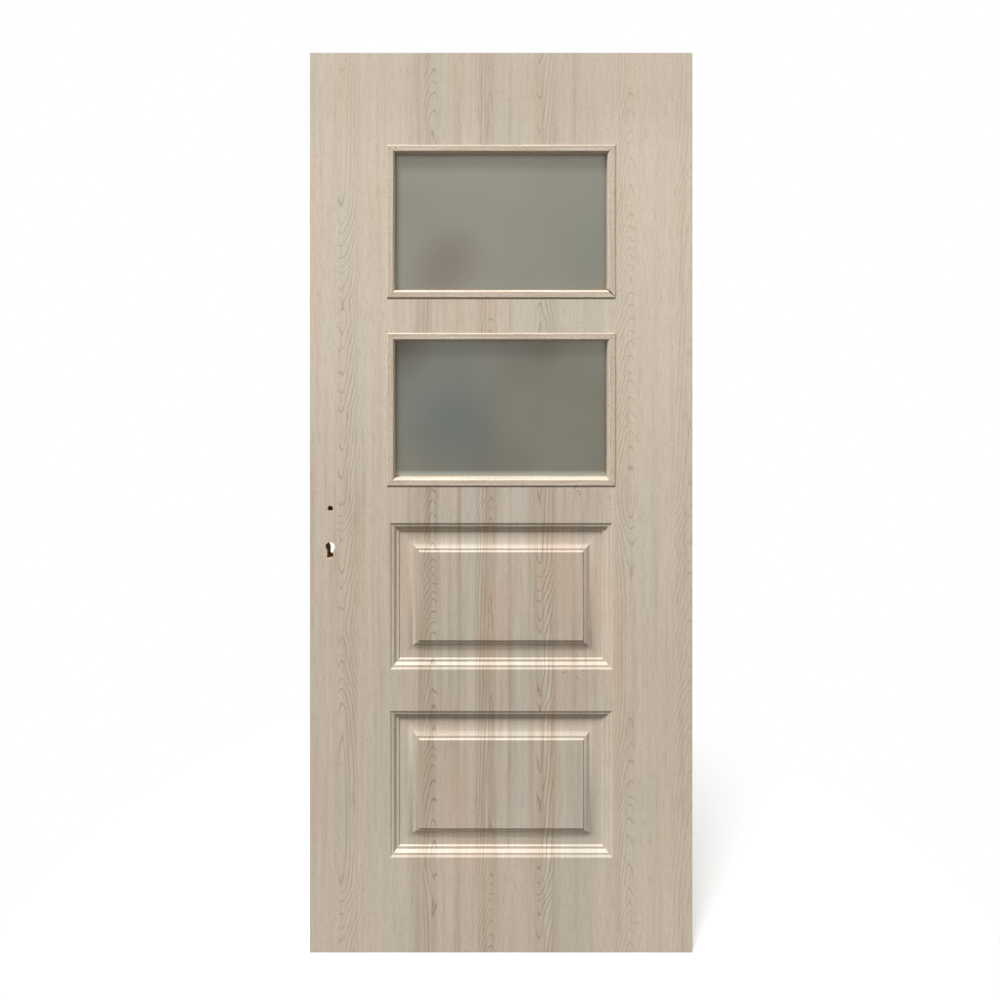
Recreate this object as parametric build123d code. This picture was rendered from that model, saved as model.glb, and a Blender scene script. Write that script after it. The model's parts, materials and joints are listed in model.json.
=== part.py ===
"""Wood plastic composite door leaf: two film-faced moulded skins on a stile and rail core.

Millimetres. X runs along the width, with the hinge edge at 0 and the lock edge at minus the leaf width.
Y runs through the thickness, with the front face on the minus side. Z is up from the leaf's lower edge.
"""

from build123d import *
from math import atan2, cos, radians, sin
import os

# Leaf
LEAF_WIDTH = 850.0
LEAF_HEIGHT = 2000.0
LEAF_THICKNESS = 40.0
SKIN = 5.0
EDGE_BAND = 1.0

# Core members; the four equal openings between them hold two raised panels and, above, two panes
STILE_WIDTH = 177.0
BOTTOM_RAIL = 211.0
PANEL_RAIL = 92.0
MIDDLE_RAIL = 89.0
LIGHT_RAIL = 92.0
TOP_RAIL = 212.0

# Raised panel moulding, from its outer edge towards the field
OUTER_STEP_RUN = 3.2
OUTER_STEP_DROP = 2.5
OUTER_TREAD = 5.0
MIDDLE_STEP_RUN = 5.4
MIDDLE_STEP_DROP = 6.5
MIDDLE_TREAD = 5.0
INNER_STEP_RUN = 2.6
INNER_STEP_DROP = 3.0
COVE_FLOOR = 5.3
COVE_RUN = 30.5
SHOULDER_TREAD = 4.0
SHOULDER_RUN = 4.0
SHOULDER_DROP = 2.5

# Panes and their beads
GLASS_THICKNESS = 5.0
GLASS_CLEARANCE = 2.0
BEAD_LIP = 7.0
BEAD_PROUD = 2.0
BEAD_FACE = 13.5
BEAD_BEVEL_RUN = 4.2
BEAD_BEVEL_DROP = 10.0
BEAD_ROUND = 1.7
BEAD_CLEARANCE = 0.3
MITRE_GAP = 0.3
LOOSE_MITRE_GAP = 1.6

# Lock preparation
BACKSET = 45.0
SPINDLE_HEIGHT = 987.0
SPINDLE_HOLE = 12.0
LOCK_CENTRES = 85.0
CYLINDER_HOLE = 20.5
CYLINDER_SLOT = 13.5
CYLINDER_DROP = 25.5
POCKET_DEPTH = 75.0
POCKET_THICKNESS = 18.0
POCKET_ABOVE_SPINDLE = 48.0
POCKET_BELOW_CYLINDER = 42.0

# Worked out from the sizes above
MIDDLE_X = -LEAF_WIDTH / 2
FRONT_Y = -LEAF_THICKNESS / 2
BACK_Y = LEAF_THICKNESS / 2
CORE_THICKNESS = LEAF_THICKNESS - 2 * SKIN
LOCK_X = -LEAF_WIDTH + BACKSET
CYLINDER_HEIGHT = SPINDLE_HEIGHT - LOCK_CENTRES
BEAD_WIDTH = BEAD_FACE + BEAD_BEVEL_RUN
OPENING_NAMES = ["lower_panel", "upper_panel", "lower_light", "upper_light"]
RAIL_HEIGHTS = [BOTTOM_RAIL, PANEL_RAIL, MIDDLE_RAIL, LIGHT_RAIL, TOP_RAIL]
OPENING_WIDTH = LEAF_WIDTH - 2 * (EDGE_BAND + STILE_WIDTH)
OPENING_HEIGHT = (LEAF_HEIGHT - sum(RAIL_HEIGHTS)) / len(OPENING_NAMES)
OPENING_CENTRES = {
    name: sum(RAIL_HEIGHTS[: row + 1]) + (row + 0.5) * OPENING_HEIGHT
    for row, name in enumerate(OPENING_NAMES)
}
PANELS = OPENING_NAMES[:2]
LIGHTS = OPENING_NAMES[2:]


def block(x_low, x_high, y_low, y_high, z_low, z_high):
    """Box between two corners."""
    size = (x_high - x_low, y_high - y_low, z_high - z_low)
    middle = ((x_low + x_high) / 2, (y_low + y_high) / 2, (z_low + z_high) / 2)
    return Pos(*middle) * Box(*size)


def opening_block(name, y_low, y_high):
    """Box that fills one core opening between two depths."""
    middle_z = OPENING_CENTRES[name]
    return block(
        MIDDLE_X - OPENING_WIDTH / 2,
        MIDDLE_X + OPENING_WIDTH / 2,
        y_low,
        y_high,
        middle_z - OPENING_HEIGHT / 2,
        middle_z + OPENING_HEIGHT / 2,
    )


def lock_holes():
    """Spindle hole and cylinder keyhole, right through the leaf."""
    along_y = Rot(90, 0, 0)
    length = 2 * LEAF_THICKNESS
    spindle = Pos(LOCK_X, 0, SPINDLE_HEIGHT) * along_y * Cylinder(SPINDLE_HOLE / 2, length)
    round_part = Pos(LOCK_X, 0, CYLINDER_HEIGHT) * along_y * Cylinder(CYLINDER_HOLE / 2, length)
    slot = block(
        LOCK_X - CYLINDER_SLOT / 2,
        LOCK_X + CYLINDER_SLOT / 2,
        -LEAF_THICKNESS,
        LEAF_THICKNESS,
        CYLINDER_HEIGHT - CYLINDER_DROP,
        CYLINDER_HEIGHT,
    )
    return [spindle, round_part + slot]


def lock_pocket():
    """Pocket for a mortise lock case, open at the lock edge."""
    return block(
        -LEAF_WIDTH - EDGE_BAND,
        -LEAF_WIDTH + POCKET_DEPTH,
        -POCKET_THICKNESS / 2,
        POCKET_THICKNESS / 2,
        CYLINDER_HEIGHT - POCKET_BELOW_CYLINDER,
        SPINDLE_HEIGHT + POCKET_ABOVE_SPINDLE,
    )


def stiles():
    """Lock stile with its lock pocket, and hinge stile."""
    half_core = CORE_THICKNESS / 2
    lock_side = -LEAF_WIDTH + EDGE_BAND
    hinge_side = -EDGE_BAND
    lock_stile = block(lock_side, lock_side + STILE_WIDTH, -half_core, half_core, 0, LEAF_HEIGHT)
    hinge_stile = block(hinge_side - STILE_WIDTH, hinge_side, -half_core, half_core, 0, LEAF_HEIGHT)
    return {
        "lock_stile": lock_stile - lock_pocket() - lock_holes(),
        "hinge_stile": hinge_stile,
    }


def rails():
    """Rails between the stiles, one under each opening and one over the highest."""
    names = ["bottom_rail", "panel_rail", "lock_rail", "light_rail", "top_rail"]
    lower_edges = [0.0] + [OPENING_CENTRES[name] + OPENING_HEIGHT / 2 for name in OPENING_NAMES]
    upper_edges = [OPENING_CENTRES[name] - OPENING_HEIGHT / 2 for name in OPENING_NAMES] + [LEAF_HEIGHT]
    half_core = CORE_THICKNESS / 2
    half_width = OPENING_WIDTH / 2
    return {
        name: block(MIDDLE_X - half_width, MIDDLE_X + half_width, -half_core, half_core, low, high)
        for name, low, high in zip(names, lower_edges, upper_edges)
    }


def edge_bands():
    """Thin strips that close the two long edges; the lock one is open at the lock pocket."""
    lock_band = block(-LEAF_WIDTH, -LEAF_WIDTH + EDGE_BAND, FRONT_Y, BACK_Y, 0, LEAF_HEIGHT)
    hinge_band = block(-EDGE_BAND, 0, FRONT_Y, BACK_Y, 0, LEAF_HEIGHT)
    return {"lock_edge_band": lock_band - lock_pocket(), "hinge_edge_band": hinge_band}


def mitred_bar(section, run, span, width, start_gap, end_gap):
    """Bar along X with mitred ends, as the top side of a frame about the origin.

    The section's local X runs inwards from the frame's edge at height span, and its local Y runs along +Y.
    The gaps are taken off along X at each end.
    """
    across = Plane(origin=(-run / 2, 0, span), x_dir=(0, 0, -1), z_dir=(1, 0, 0))
    bar = extrude(across * section, run)
    half_run = run / 2
    trim = Polyline(
        (-half_run + start_gap, span),
        (half_run - end_gap, span),
        (half_run - end_gap - width, span - width),
        (-half_run + start_gap + width, span - width),
        close=True,
    )
    wedge = extrude(Plane.XZ * make_face(trim), LEAF_THICKNESS, both=True)
    return bar & wedge


def moulding_section():
    """Section of the moulded skin round a raised panel.

    Local X runs from the opening's edge towards the field, and local Y is the depth below the skin's face.
    """
    runs = [OUTER_STEP_RUN, OUTER_TREAD, MIDDLE_STEP_RUN, MIDDLE_TREAD, INNER_STEP_RUN, COVE_FLOOR]
    drops = [OUTER_STEP_DROP, 0, MIDDLE_STEP_DROP, 0, INNER_STEP_DROP, 0]
    face = [(0.0, 0.0)]
    for run, drop in zip(runs, drops):
        face.append((face[-1][0] + run, face[-1][1] + drop))
    cove_start, floor_depth = face[-1]
    cove_end = cove_start + COVE_RUN
    rise = floor_depth - SHOULDER_DROP
    sweep_angle = 2 * atan2(rise, COVE_RUN)
    cove_radius = COVE_RUN / sin(sweep_angle)
    cove_centre_depth = floor_depth - cove_radius
    shoulder_end = cove_end + SHOULDER_TREAD
    field_edge = shoulder_end + SHOULDER_RUN

    def cove_point(radius, angle):
        """Point on an arc about the cove's centre, by the angle turned from the floor."""
        return (cove_start + radius * sin(angle), cove_centre_depth + radius * cos(angle))

    under_radius = cove_radius + SKIN
    under_end = cove_point(under_radius, sweep_angle)
    edges = Polyline(*face)
    edges += ThreePointArc(
        face[-1], cove_point(cove_radius, sweep_angle / 2), cove_point(cove_radius, sweep_angle)
    )
    edges += Polyline(
        (cove_end, SHOULDER_DROP),
        (shoulder_end, SHOULDER_DROP),
        (field_edge, 0),
        (field_edge, SKIN),
        under_end,
    )
    edges += ThreePointArc(
        under_end, cove_point(under_radius, sweep_angle / 2), (cove_start, floor_depth + SKIN)
    )
    edges += Polyline(
        (cove_start, floor_depth + SKIN), (cove_start - COVE_FLOOR, floor_depth + SKIN), (0, SKIN), (0, 0)
    )
    return make_face(edges), field_edge


def raised_panel(name):
    """Moulding and field that close one opening of the front skin."""
    section, field_edge = moulding_section()
    middle_z = OPENING_CENTRES[name]
    half_width = OPENING_WIDTH / 2
    half_height = OPENING_HEIGHT / 2
    bars = []
    for turn, run, span in [
        (0, OPENING_WIDTH, half_height),
        (90, OPENING_HEIGHT, half_width),
        (180, OPENING_WIDTH, half_height),
        (270, OPENING_HEIGHT, half_width),
    ]:
        bars.append(Rot(0, turn, 0) * mitred_bar(section, run, span, field_edge, 0, 0))
    field = Pos(0, SKIN / 2, 0) * Box(
        OPENING_WIDTH - 2 * field_edge, SKIN, OPENING_HEIGHT - 2 * field_edge
    )
    return Pos(MIDDLE_X, FRONT_Y, middle_z) * (field + bars)


def front_skin():
    """Moulded front skin, open at the lights and closed by raised panels at the other two openings."""
    skin = block(-LEAF_WIDTH + EDGE_BAND, -EDGE_BAND, FRONT_Y, FRONT_Y + SKIN, 0, LEAF_HEIGHT)
    skin -= [opening_block(name, FRONT_Y - SKIN, FRONT_Y + 2 * SKIN) for name in OPENING_NAMES]
    skin += [raised_panel(name) for name in PANELS]
    return skin - lock_holes()


def skins():
    """Front skin and its mirror image on the back."""
    front = front_skin()
    return {"front_skin": front, "back_skin": mirror(front, about=Plane.XZ)}


def panes():
    """Panes at the middle of the thickness, clear of the opening's edges."""
    pane = Box(OPENING_WIDTH - 2 * GLASS_CLEARANCE, GLASS_THICKNESS, OPENING_HEIGHT - 2 * GLASS_CLEARANCE)
    return {
        name.replace("light", "glass"): Pos(MIDDLE_X, 0, OPENING_CENTRES[name]) * pane for name in LIGHTS
    }


def bead_section():
    """Section of a rebated bead.

    Local X runs inwards from its outer edge, and local Y is the depth below the skin's face.
    """
    glass_depth = (LEAF_THICKNESS - GLASS_THICKNESS) / 2
    body_edge = BEAD_LIP + BEAD_CLEARANCE
    corner = BEAD_ROUND * (1 - sin(radians(45)))
    edges = Line((0, 0), (0, BEAD_ROUND - BEAD_PROUD))
    edges += ThreePointArc(
        (0, BEAD_ROUND - BEAD_PROUD), (corner, corner - BEAD_PROUD), (BEAD_ROUND, -BEAD_PROUD)
    )
    edges += Polyline(
        (BEAD_ROUND, -BEAD_PROUD),
        (BEAD_FACE, -BEAD_PROUD),
        (BEAD_WIDTH, BEAD_BEVEL_DROP - BEAD_PROUD),
        (BEAD_WIDTH, glass_depth),
        (body_edge, glass_depth),
        (body_edge, 0),
        (0, 0),
    )
    return make_face(edges)


def beads():
    """Four mitred beads on each side of each pane; one mitre on the front stands open."""
    section = bead_section()
    width = OPENING_WIDTH + 2 * BEAD_LIP
    height = OPENING_HEIGHT + 2 * BEAD_LIP
    gap = MITRE_GAP / 2
    made = {}
    for light in LIGHTS:
        level = light.split("_")[0]
        for face, turn_round, sides in [
            ("front", 0, ["top", "hinge", "bottom", "lock"]),
            ("back", 180, ["top", "lock", "bottom", "hinge"]),
        ]:
            for turn, side in zip([0, 90, 180, 270], sides):
                run, span = (width, height / 2) if turn % 180 == 0 else (height, width / 2)
                loose = (level, face, side) == ("upper", "front", "hinge")
                bar = mitred_bar(section, run, span, BEAD_WIDTH, gap, LOOSE_MITRE_GAP if loose else gap)
                seat = Pos(MIDDLE_X, 0, OPENING_CENTRES[light]) * Rot(0, 0, turn_round) * Pos(0, FRONT_Y, 0)
                made[f"{face}_{level}_{side}_bead"] = seat * Rot(0, turn, 0) * bar
    return made


def main():
    """Write every piece as a file of its own."""
    os.makedirs("parts", exist_ok=True)
    for pieces in [stiles(), rails(), edge_bands(), skins(), panes(), beads()]:
        for name, shape in pieces.items():
            export_step(shape, f"parts/{name}.step")


main()
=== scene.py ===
"""Blender looks for a wood plastic composite door leaf with frosted lights and raised panels.

Metres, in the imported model's frame: hinge edge at X 0, front face towards minus Y, Z up.
"""

import json
import logging
import math
from dataclasses import dataclass
from enum import Enum, IntEnum
from functools import partial
from typing import Any, Callable, Sequence

import bmesh
import bpy
from mathutils import Matrix, Vector


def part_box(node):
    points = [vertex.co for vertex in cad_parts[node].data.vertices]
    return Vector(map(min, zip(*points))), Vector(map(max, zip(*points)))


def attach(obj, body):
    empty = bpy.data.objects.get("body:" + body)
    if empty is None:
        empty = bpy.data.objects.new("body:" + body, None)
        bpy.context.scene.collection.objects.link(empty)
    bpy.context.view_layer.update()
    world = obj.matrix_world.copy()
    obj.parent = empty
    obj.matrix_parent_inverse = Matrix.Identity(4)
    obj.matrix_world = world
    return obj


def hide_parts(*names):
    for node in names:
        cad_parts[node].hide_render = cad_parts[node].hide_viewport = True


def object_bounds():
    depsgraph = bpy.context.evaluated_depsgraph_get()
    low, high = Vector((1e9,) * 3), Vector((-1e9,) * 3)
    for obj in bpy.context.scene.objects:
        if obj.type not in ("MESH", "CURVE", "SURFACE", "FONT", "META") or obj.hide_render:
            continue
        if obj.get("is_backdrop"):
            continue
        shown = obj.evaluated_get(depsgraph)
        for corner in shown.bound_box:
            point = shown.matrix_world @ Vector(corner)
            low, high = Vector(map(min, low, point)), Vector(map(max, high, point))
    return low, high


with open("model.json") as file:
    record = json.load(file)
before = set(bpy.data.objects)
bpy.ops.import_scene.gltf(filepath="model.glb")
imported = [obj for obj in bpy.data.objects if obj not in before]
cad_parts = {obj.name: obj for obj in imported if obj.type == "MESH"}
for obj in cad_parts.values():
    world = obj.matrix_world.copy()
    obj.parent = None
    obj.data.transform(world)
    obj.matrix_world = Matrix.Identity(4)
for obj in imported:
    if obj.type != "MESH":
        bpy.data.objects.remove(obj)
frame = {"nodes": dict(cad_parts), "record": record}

LOG = logging.getLogger("door_leaf")
MM = 0.001
ROOT = "root"
CLOSE = 0.01 * MM
SHARP_ANGLE = math.radians(32)


class Face(Enum):
    """Broad side of the leaf."""

    FRONT = "front"
    BACK = "back"


class Level(Enum):
    """Which of the two lights."""

    UPPER = "upper"
    LOWER = "lower"


class Grain(Enum):
    """Direction in which a film's grain runs."""

    UPRIGHT = "upright"
    LEVEL = "level"


class BeadSide(Enum):
    """Side of a light that a bead lies on, as seen from the front."""

    TOP = "top"
    HINGE = "hinge"
    BOTTOM = "bottom"
    LOCK = "lock"

    @property
    def grain(self) -> Grain:
        """Direction of the bead's grain, which runs along it."""
        return Grain.UPRIGHT if self in (BeadSide.HINGE, BeadSide.LOCK) else Grain.LEVEL


class SkinPart(IntEnum):
    """Part of a skin that has its own material, by its place in the material list."""

    FILM = 0
    SAWN = 1
    TORN = 2


def linear(hex_colour: str) -> tuple[float, float, float, float]:
    """Turn an sRGB hex colour into a linear one.

    Args:
        hex_colour: Six hex digits after a hash.

    Returns:
        Linear red, green, blue and an alpha of 1.
    """
    channels = [int(hex_colour[i : i + 2], 16) / 255 for i in (1, 3, 5)]
    red, green, blue = [c / 12.92 if c <= 0.04045 else ((c + 0.055) / 1.055) ** 2.4 for c in channels]
    return (red, green, blue, 1.0)


def add_node(
    tree: bpy.types.NodeTree, kind: str, inputs: dict[Any, Any] | None = None, **settings: Any
) -> bpy.types.Node:
    """Add one node with its settings and with its inputs set or linked.

    Args:
        tree: Node tree that takes the node.
        kind: Blender's name of the node type.
        inputs: Input names or places, each with a value or with an output to link.
        settings: Attributes to set on the node first.

    Returns:
        The new node.
    """
    node = tree.nodes.new(kind)
    for name, value in settings.items():
        setattr(node, name, value)
    for key, value in (inputs or {}).items():
        if isinstance(value, bpy.types.NodeSocket):
            tree.links.new(value, node.inputs[key])
        else:
            node.inputs[key].default_value = value
    return node


def set_stops(ramp: bpy.types.ColorRamp, stops: Sequence[tuple[float, tuple[float, ...]]]) -> None:
    """Give a colour ramp its stops.

    Args:
        ramp: Ramp with its two first stops.
        stops: Place and linear colour of each stop, in rising order.
    """
    while len(ramp.elements) < len(stops):
        ramp.elements.new(1.0)
    for element, (place, colour) in zip(ramp.elements, stops):
        element.position = place
        element.color = colour


def empty_material(name: str) -> tuple[bpy.types.Material, Callable, bpy.types.Node]:
    """Make a material that has only its output.

    Args:
        name: The material's name.

    Returns:
        The material, a short call that adds a node to it, and its output node.
    """
    material = bpy.data.materials.new(name)
    material.use_nodes = True
    material.node_tree.nodes.clear()
    add = partial(add_node, material.node_tree)
    return material, add, add("ShaderNodeOutputMaterial")


@dataclass(frozen=True)
class GrainColumn:
    """Column of arched grain in the print, as a saw cut through a tapering stem shows it.

    Attributes:
        centre_mm: Place across the leaf, from its middle.
        left_mm: How far the arches reach to the left before they fade.
        right_mm: How far they reach to the right.
        ring_mm: Distance between neighbouring rings, measured across.
        pith_mm: Depth of the stem's middle below the cut; more gives rounder arches.
        lean: Sideways tilt of the arches; more than 0 makes their right arms steeper.
        strength: Share of ring colour in the lines.
        runs: From the foot up, 1 where the arches point up and -1 where they point down, with the heights of
            their tips.
    """

    centre_mm: float
    left_mm: float
    right_mm: float
    ring_mm: float
    pith_mm: float
    lean: float
    strength: float
    runs: tuple[tuple[int, tuple[float, ...]], ...]

    def ring_counts(self, top_mm: float) -> list[tuple[float, float]]:
        """Count the rings up the column.

        Args:
            top_mm: Height of the leaf, where the count ends.

        Returns:
            Heights in millimetres, each with the number of the ring there; between two runs the count turns.
        """
        counts = []
        count = 0
        before = 0
        for step, heights in self.runs:
            if counts:
                counts.append(((counts[-1][0] + heights[0]) / 2, count + 0.5 * before))
            for index, height in enumerate(heights):
                count += step if index else 0
                counts.append((height, count))
            before = step
        first_step = self.runs[0][0]
        return [(0.0, -0.5 * first_step), *counts, (top_mm, count + 0.5 * before)]


@dataclass(frozen=True)
class PrintLayer:
    """Soft noise in the print, drawn out along the grain.

    Attributes:
        title: What it is used for.
        width_mm: Width of its patches, across the leaf.
        length_mm: Length of its patches, up the leaf.
        detail: How much finer noise it carries.
    """

    title: str
    width_mm: float
    length_mm: float
    detail: float


@dataclass(frozen=True)
class Wash:
    """Slow change of colour in one direction, laid over the print as painted light and shade.

    Attributes:
        axis: X across the leaf from its middle, or Z up the leaf.
        start_mm: Where the change starts.
        end_mm: Where it is complete.
        share: Share of the hue from there on.
        hue: Colour that it goes to.
    """

    axis: str
    start_mm: float
    end_mm: float
    share: float
    hue: str


@dataclass(frozen=True)
class Specks:
    """Scattered small dots.

    Attributes:
        spacing_mm: Distance between the places that may hold a dot.
        rarity: Share of those places that stay empty.
        solid_mm: Radius that is solid.
        end_mm: Radius where a dot ends.
        share: A dot's strength.
    """

    spacing_mm: float
    rarity: float
    solid_mm: float
    end_mm: float
    share: float


@dataclass(frozen=True)
class SoftArea:
    """Soft-edged rectangle on the leaf.

    Attributes:
        width_mm: From and to, across the leaf from its middle.
        height_mm: From and to, up the leaf.
        fade_mm: Width of the soft edge.
        share: Share of the colour that the area takes on.
    """

    width_mm: tuple[float, float]
    height_mm: tuple[float, float]
    fade_mm: float
    share: float = 1.0


@dataclass(frozen=True)
class GrainFilm:
    """Printed PVC film with an ash figure, drawn by heat and vacuum over the moulded boards.

    It gives the eye pale upright streaks, columns of arched grain, hair-fine threads and a low satin sheen.
    """

    name: str = "printed_ash_film"
    brown: str = "#B3A28E"
    fawn: str = "#BEB09D"
    beige: str = "#C8BCAB"
    pale: str = "#D1C6B7"
    cream: str = "#EEDFCB"
    ring: str = "#8C755F"
    grey_cast: str = "#BFBBAC"
    pink_cast: str = "#CFB7A3"
    scuff: str = "#EBE5D9"
    # Colour of the small dirt marks, and of the painted shade in the bead joints
    dirt_and_joint_shade: str = "#4E3E30"
    repeat_mm: float = 439.0
    repeat_start_mm: float = -420.5
    leaf_half_mm: float = 425.0
    leaf_height_mm: float = 2000.0
    sway_mm: float = 8.0
    wander: float = 1.0
    ripple: float = 0.5
    sway_patch_mm: tuple[float, float] = (90.0, 380.0)
    roughness: float = 0.46
    roughness_play: float = 0.05
    ior: float = 1.52
    relief_mm: float = 0.06
    fibre_share: float = 0.31
    pore_share: float = 0.44
    smudge_share: float = 0.4
    stile_mm: tuple[float, float] = (205.0, 255.0)
    stripe_middle: float = 0.6
    panel_contrast: float = 0.98
    stile_contrast: float = 0.48
    columns: tuple[GrainColumn, ...] = (
        GrainColumn(
            centre_mm=-351.0,
            left_mm=14.0,
            right_mm=38.0,
            ring_mm=11.0,
            pith_mm=8.0,
            lean=0.4,
            strength=0.58,
            runs=(
                (-1, (28, 52, 84, 110, 132, 161)),
                (1, (472, 550, 584, 606, 641, 695)),
                (-1, (757, 813, 848, 917, 937, 953, 968, 995, 1062, 1122, 1206, 1246, 1284, 1339, 1384)),
                (-1, (1435, 1470, 1510, 1524, 1540, 1571, 1600, 1624, 1662, 1962)),
            ),
        ),
        GrainColumn(
            centre_mm=-153.5,
            left_mm=25.0,
            right_mm=13.0,
            ring_mm=10.0,
            pith_mm=7.0,
            lean=-0.3,
            strength=0.85,
            runs=(
                (-1, (106, 168)),
                (1, (239, 295, 346, 384, 417, 439, 455, 495, 548, 584, 650, 713, 735, 757, 784, 802, 822)),
                (1, (838, 855, 873, 906, 939, 979, 1006, 1035, 1310, 1826, 1868, 1911, 1935, 1962)),
            ),
        ),
        GrainColumn(
            centre_mm=-26.0,
            left_mm=42.0,
            right_mm=12.0,
            ring_mm=9.5,
            pith_mm=5.0,
            lean=-0.35,
            strength=0.65,
            runs=(
                (1, (17, 39, 66, 95, 117, 132, 155, 175, 312, 540, 770, 962, 990, 1017, 1384, 1417, 1900)),
            ),
        ),
        GrainColumn(
            centre_mm=87.7,
            left_mm=11.0,
            right_mm=36.0,
            ring_mm=13.0,
            pith_mm=4.0,
            lean=0.4,
            strength=0.8,
            runs=(
                (-1, (35, 84, 117, 128, 157, 188, 328, 401, 544, 572, 713, 739, 779, 802, 833, 862, 995)),
                (1, (1400, 1444)),
                (-1, (1828, 1895, 1984)),
            ),
        ),
        GrainColumn(
            centre_mm=283.5,
            left_mm=36.0,
            right_mm=16.0,
            ring_mm=10.0,
            pith_mm=8.0,
            lean=-0.35,
            strength=0.5,
            runs=(
                (1, (21, 50, 68, 90, 106, 139, 184, 261, 299, 328, 346, 384, 428, 461, 512)),
                (-1, (839, 910, 944, 973)),
                (1, (1084, 1122, 1157, 1180, 1202, 1235, 1273, 1290, 1328, 1362, 1384, 1410, 1439, 1468)),
                (1, (1495, 1528, 1548, 1566, 1584, 1610, 1639, 1695, 1762, 1806, 1828, 1877, 1922)),
            ),
        ),
        GrainColumn(
            centre_mm=421.0,
            left_mm=50.0,
            right_mm=14.0,
            ring_mm=11.0,
            pith_mm=8.0,
            lean=-0.2,
            strength=0.32,
            runs=(
                (1, (161, 228, 339, 406, 472, 506, 535, 562, 584, 606, 640, 695, 739, 773, 806, 846, 873)),
                (1, (906, 946, 973, 995, 1050, 1200, 1350, 1500, 1650, 1692, 1725, 1750, 1850)),
            ),
        ),
    )
    stripes: tuple[tuple[float, float], ...] = (
        (0.000, 0.35),
        (0.030, 0.85),
        (0.080, 0.80),
        (0.130, 0.50),
        (0.170, 0.50),
        (0.195, 0.75),
        (0.223, 0.25),
        (0.250, 0.75),
        (0.300, 0.85),
        (0.325, 0.50),
        (0.360, 0.75),
        (0.480, 0.85),
        (0.545, 0.30),
        (0.610, 0.30),
        (0.645, 0.70),
        (0.700, 0.75),
        (0.744, 0.30),
        (0.780, 0.85),
        (0.820, 0.85),
        (0.870, 0.30),
        (0.910, 0.22),
        (0.945, 0.75),
        (0.985, 0.80),
        (1.000, 0.35),
    )
    # Painted light and shade: lighter stiles, a lighter upper part, a darker top, a darker lower part and a
    # lighter foot
    light_and_shade_washes: tuple[Wash, ...] = (
        Wash("X", -200.0, -250.0, 0.25, cream),
        Wash("X", 200.0, 250.0, 0.39, cream),
        Wash("Z", 1000.0, 1300.0, 0.30, cream),
        Wash("Z", 1780.0, 1900.0, 0.22, brown),
        Wash("Z", 900.0, 700.0, 0.10, brown),
        Wash("Z", 330.0, 200.0, 0.14, cream),
    )
    casts: tuple[tuple[float, float, float, str], ...] = (
        (0.50, 0.70, 0.7, grey_cast),
        (0.50, 0.30, 0.75, pink_cast),
    )
    knots: Specks = Specks(105.0, 0.62, 0.7, 1.7, 0.7)
    scuffs: Specks = Specks(24.0, 0.80, 0.9, 1.8, 0.8)
    smudged: SoftArea = SoftArea((120.0, 245.0), (560.0, 1040.0), 25.0)
    worn: SoftArea = SoftArea((325.0, 420.0), (180.0, 600.0), 25.0)
    front_mm: float = -20.0
    mark_solid_mm: float = 0.8
    mark_end_mm: float = 2.6
    mark_share: float = 0.55
    marks_mm: tuple[tuple[float, float], ...] = (
        (137.4, 621.5),
        (144.0, 623.7),
        (168.5, 612.6),
        (172.9, 606.0),
        (184.0, 626.0),
        (164.0, 1032.5),
        (170.7, 1026.0),
        (175.1, 1019.0),
    )
    # Painted shade: dark lines under the beads' lower edges and, fainter, beside their right-hand edges
    bead_joint_shade: tuple[SoftArea, ...] = (
        SoftArea((-254.0, 254.0), (1451.5, 1455.5), 1.0, 0.6),
        SoftArea((-254.0, 254.0), (1033.5, 1037.5), 1.0, 0.6),
        SoftArea((253.0, 257.0), (1455.0, 1795.0), 1.0, 0.25),
        SoftArea((253.0, 257.0), (1037.0, 1377.0), 1.0, 0.25),
    )
    layers: tuple[PrintLayer, ...] = (
        PrintLayer("streak", 12.0, 380.0, 2.0),
        PrintLayer("cast", 95.0, 520.0, 2.0),
        PrintLayer("fibre", 1.8, 45.0, 3.0),
        PrintLayer("pore", 1.4, 9.0, 2.0),
        PrintLayer("fade", 14.0, 110.0, 2.0),
        PrintLayer("wander", 30.0, 140.0, 2.0),
        PrintLayer("ripple", 9.0, 34.0, 1.0),
        PrintLayer("smudge", 5.0, 3.5, 2.0),
    )

    def make(self) -> bpy.types.Material:
        """Build the film.

        Returns:
            The material.
        """
        material, add, output = empty_material(self.name)
        coords = add("ShaderNodeTexCoord").outputs["Object"]
        place_mm = add(
            "ShaderNodeMapping",
            {"Vector": coords, "Location": (self.leaf_half_mm, 0, 0), "Scale": (1000, 1000, 1000)},
        ).outputs[0]
        place = add("ShaderNodeSeparateXYZ", {0: place_mm}).outputs
        across = self.swayed(add, place_mm, place["X"])
        print_place = add("ShaderNodeCombineXYZ", {"X": across, "Z": place["Z"]}).outputs[0]
        layer = {}
        for noise in self.layers:
            scaled = add(
                "ShaderNodeVectorMath",
                {0: print_place, 1: (1 / noise.width_mm, 1.0, 1 / noise.length_mm)},
                operation="MULTIPLY",
            ).outputs[0]
            layer[noise.title] = add(
                "ShaderNodeTexNoise",
                {"Vector": scaled, "Scale": 1.0, "Detail": noise.detail, "Roughness": 0.55},
            ).outputs[0]

        film = self.ground(add, across, place, layer)
        rings = self.rings(add, across, place["Z"], layer)
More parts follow.
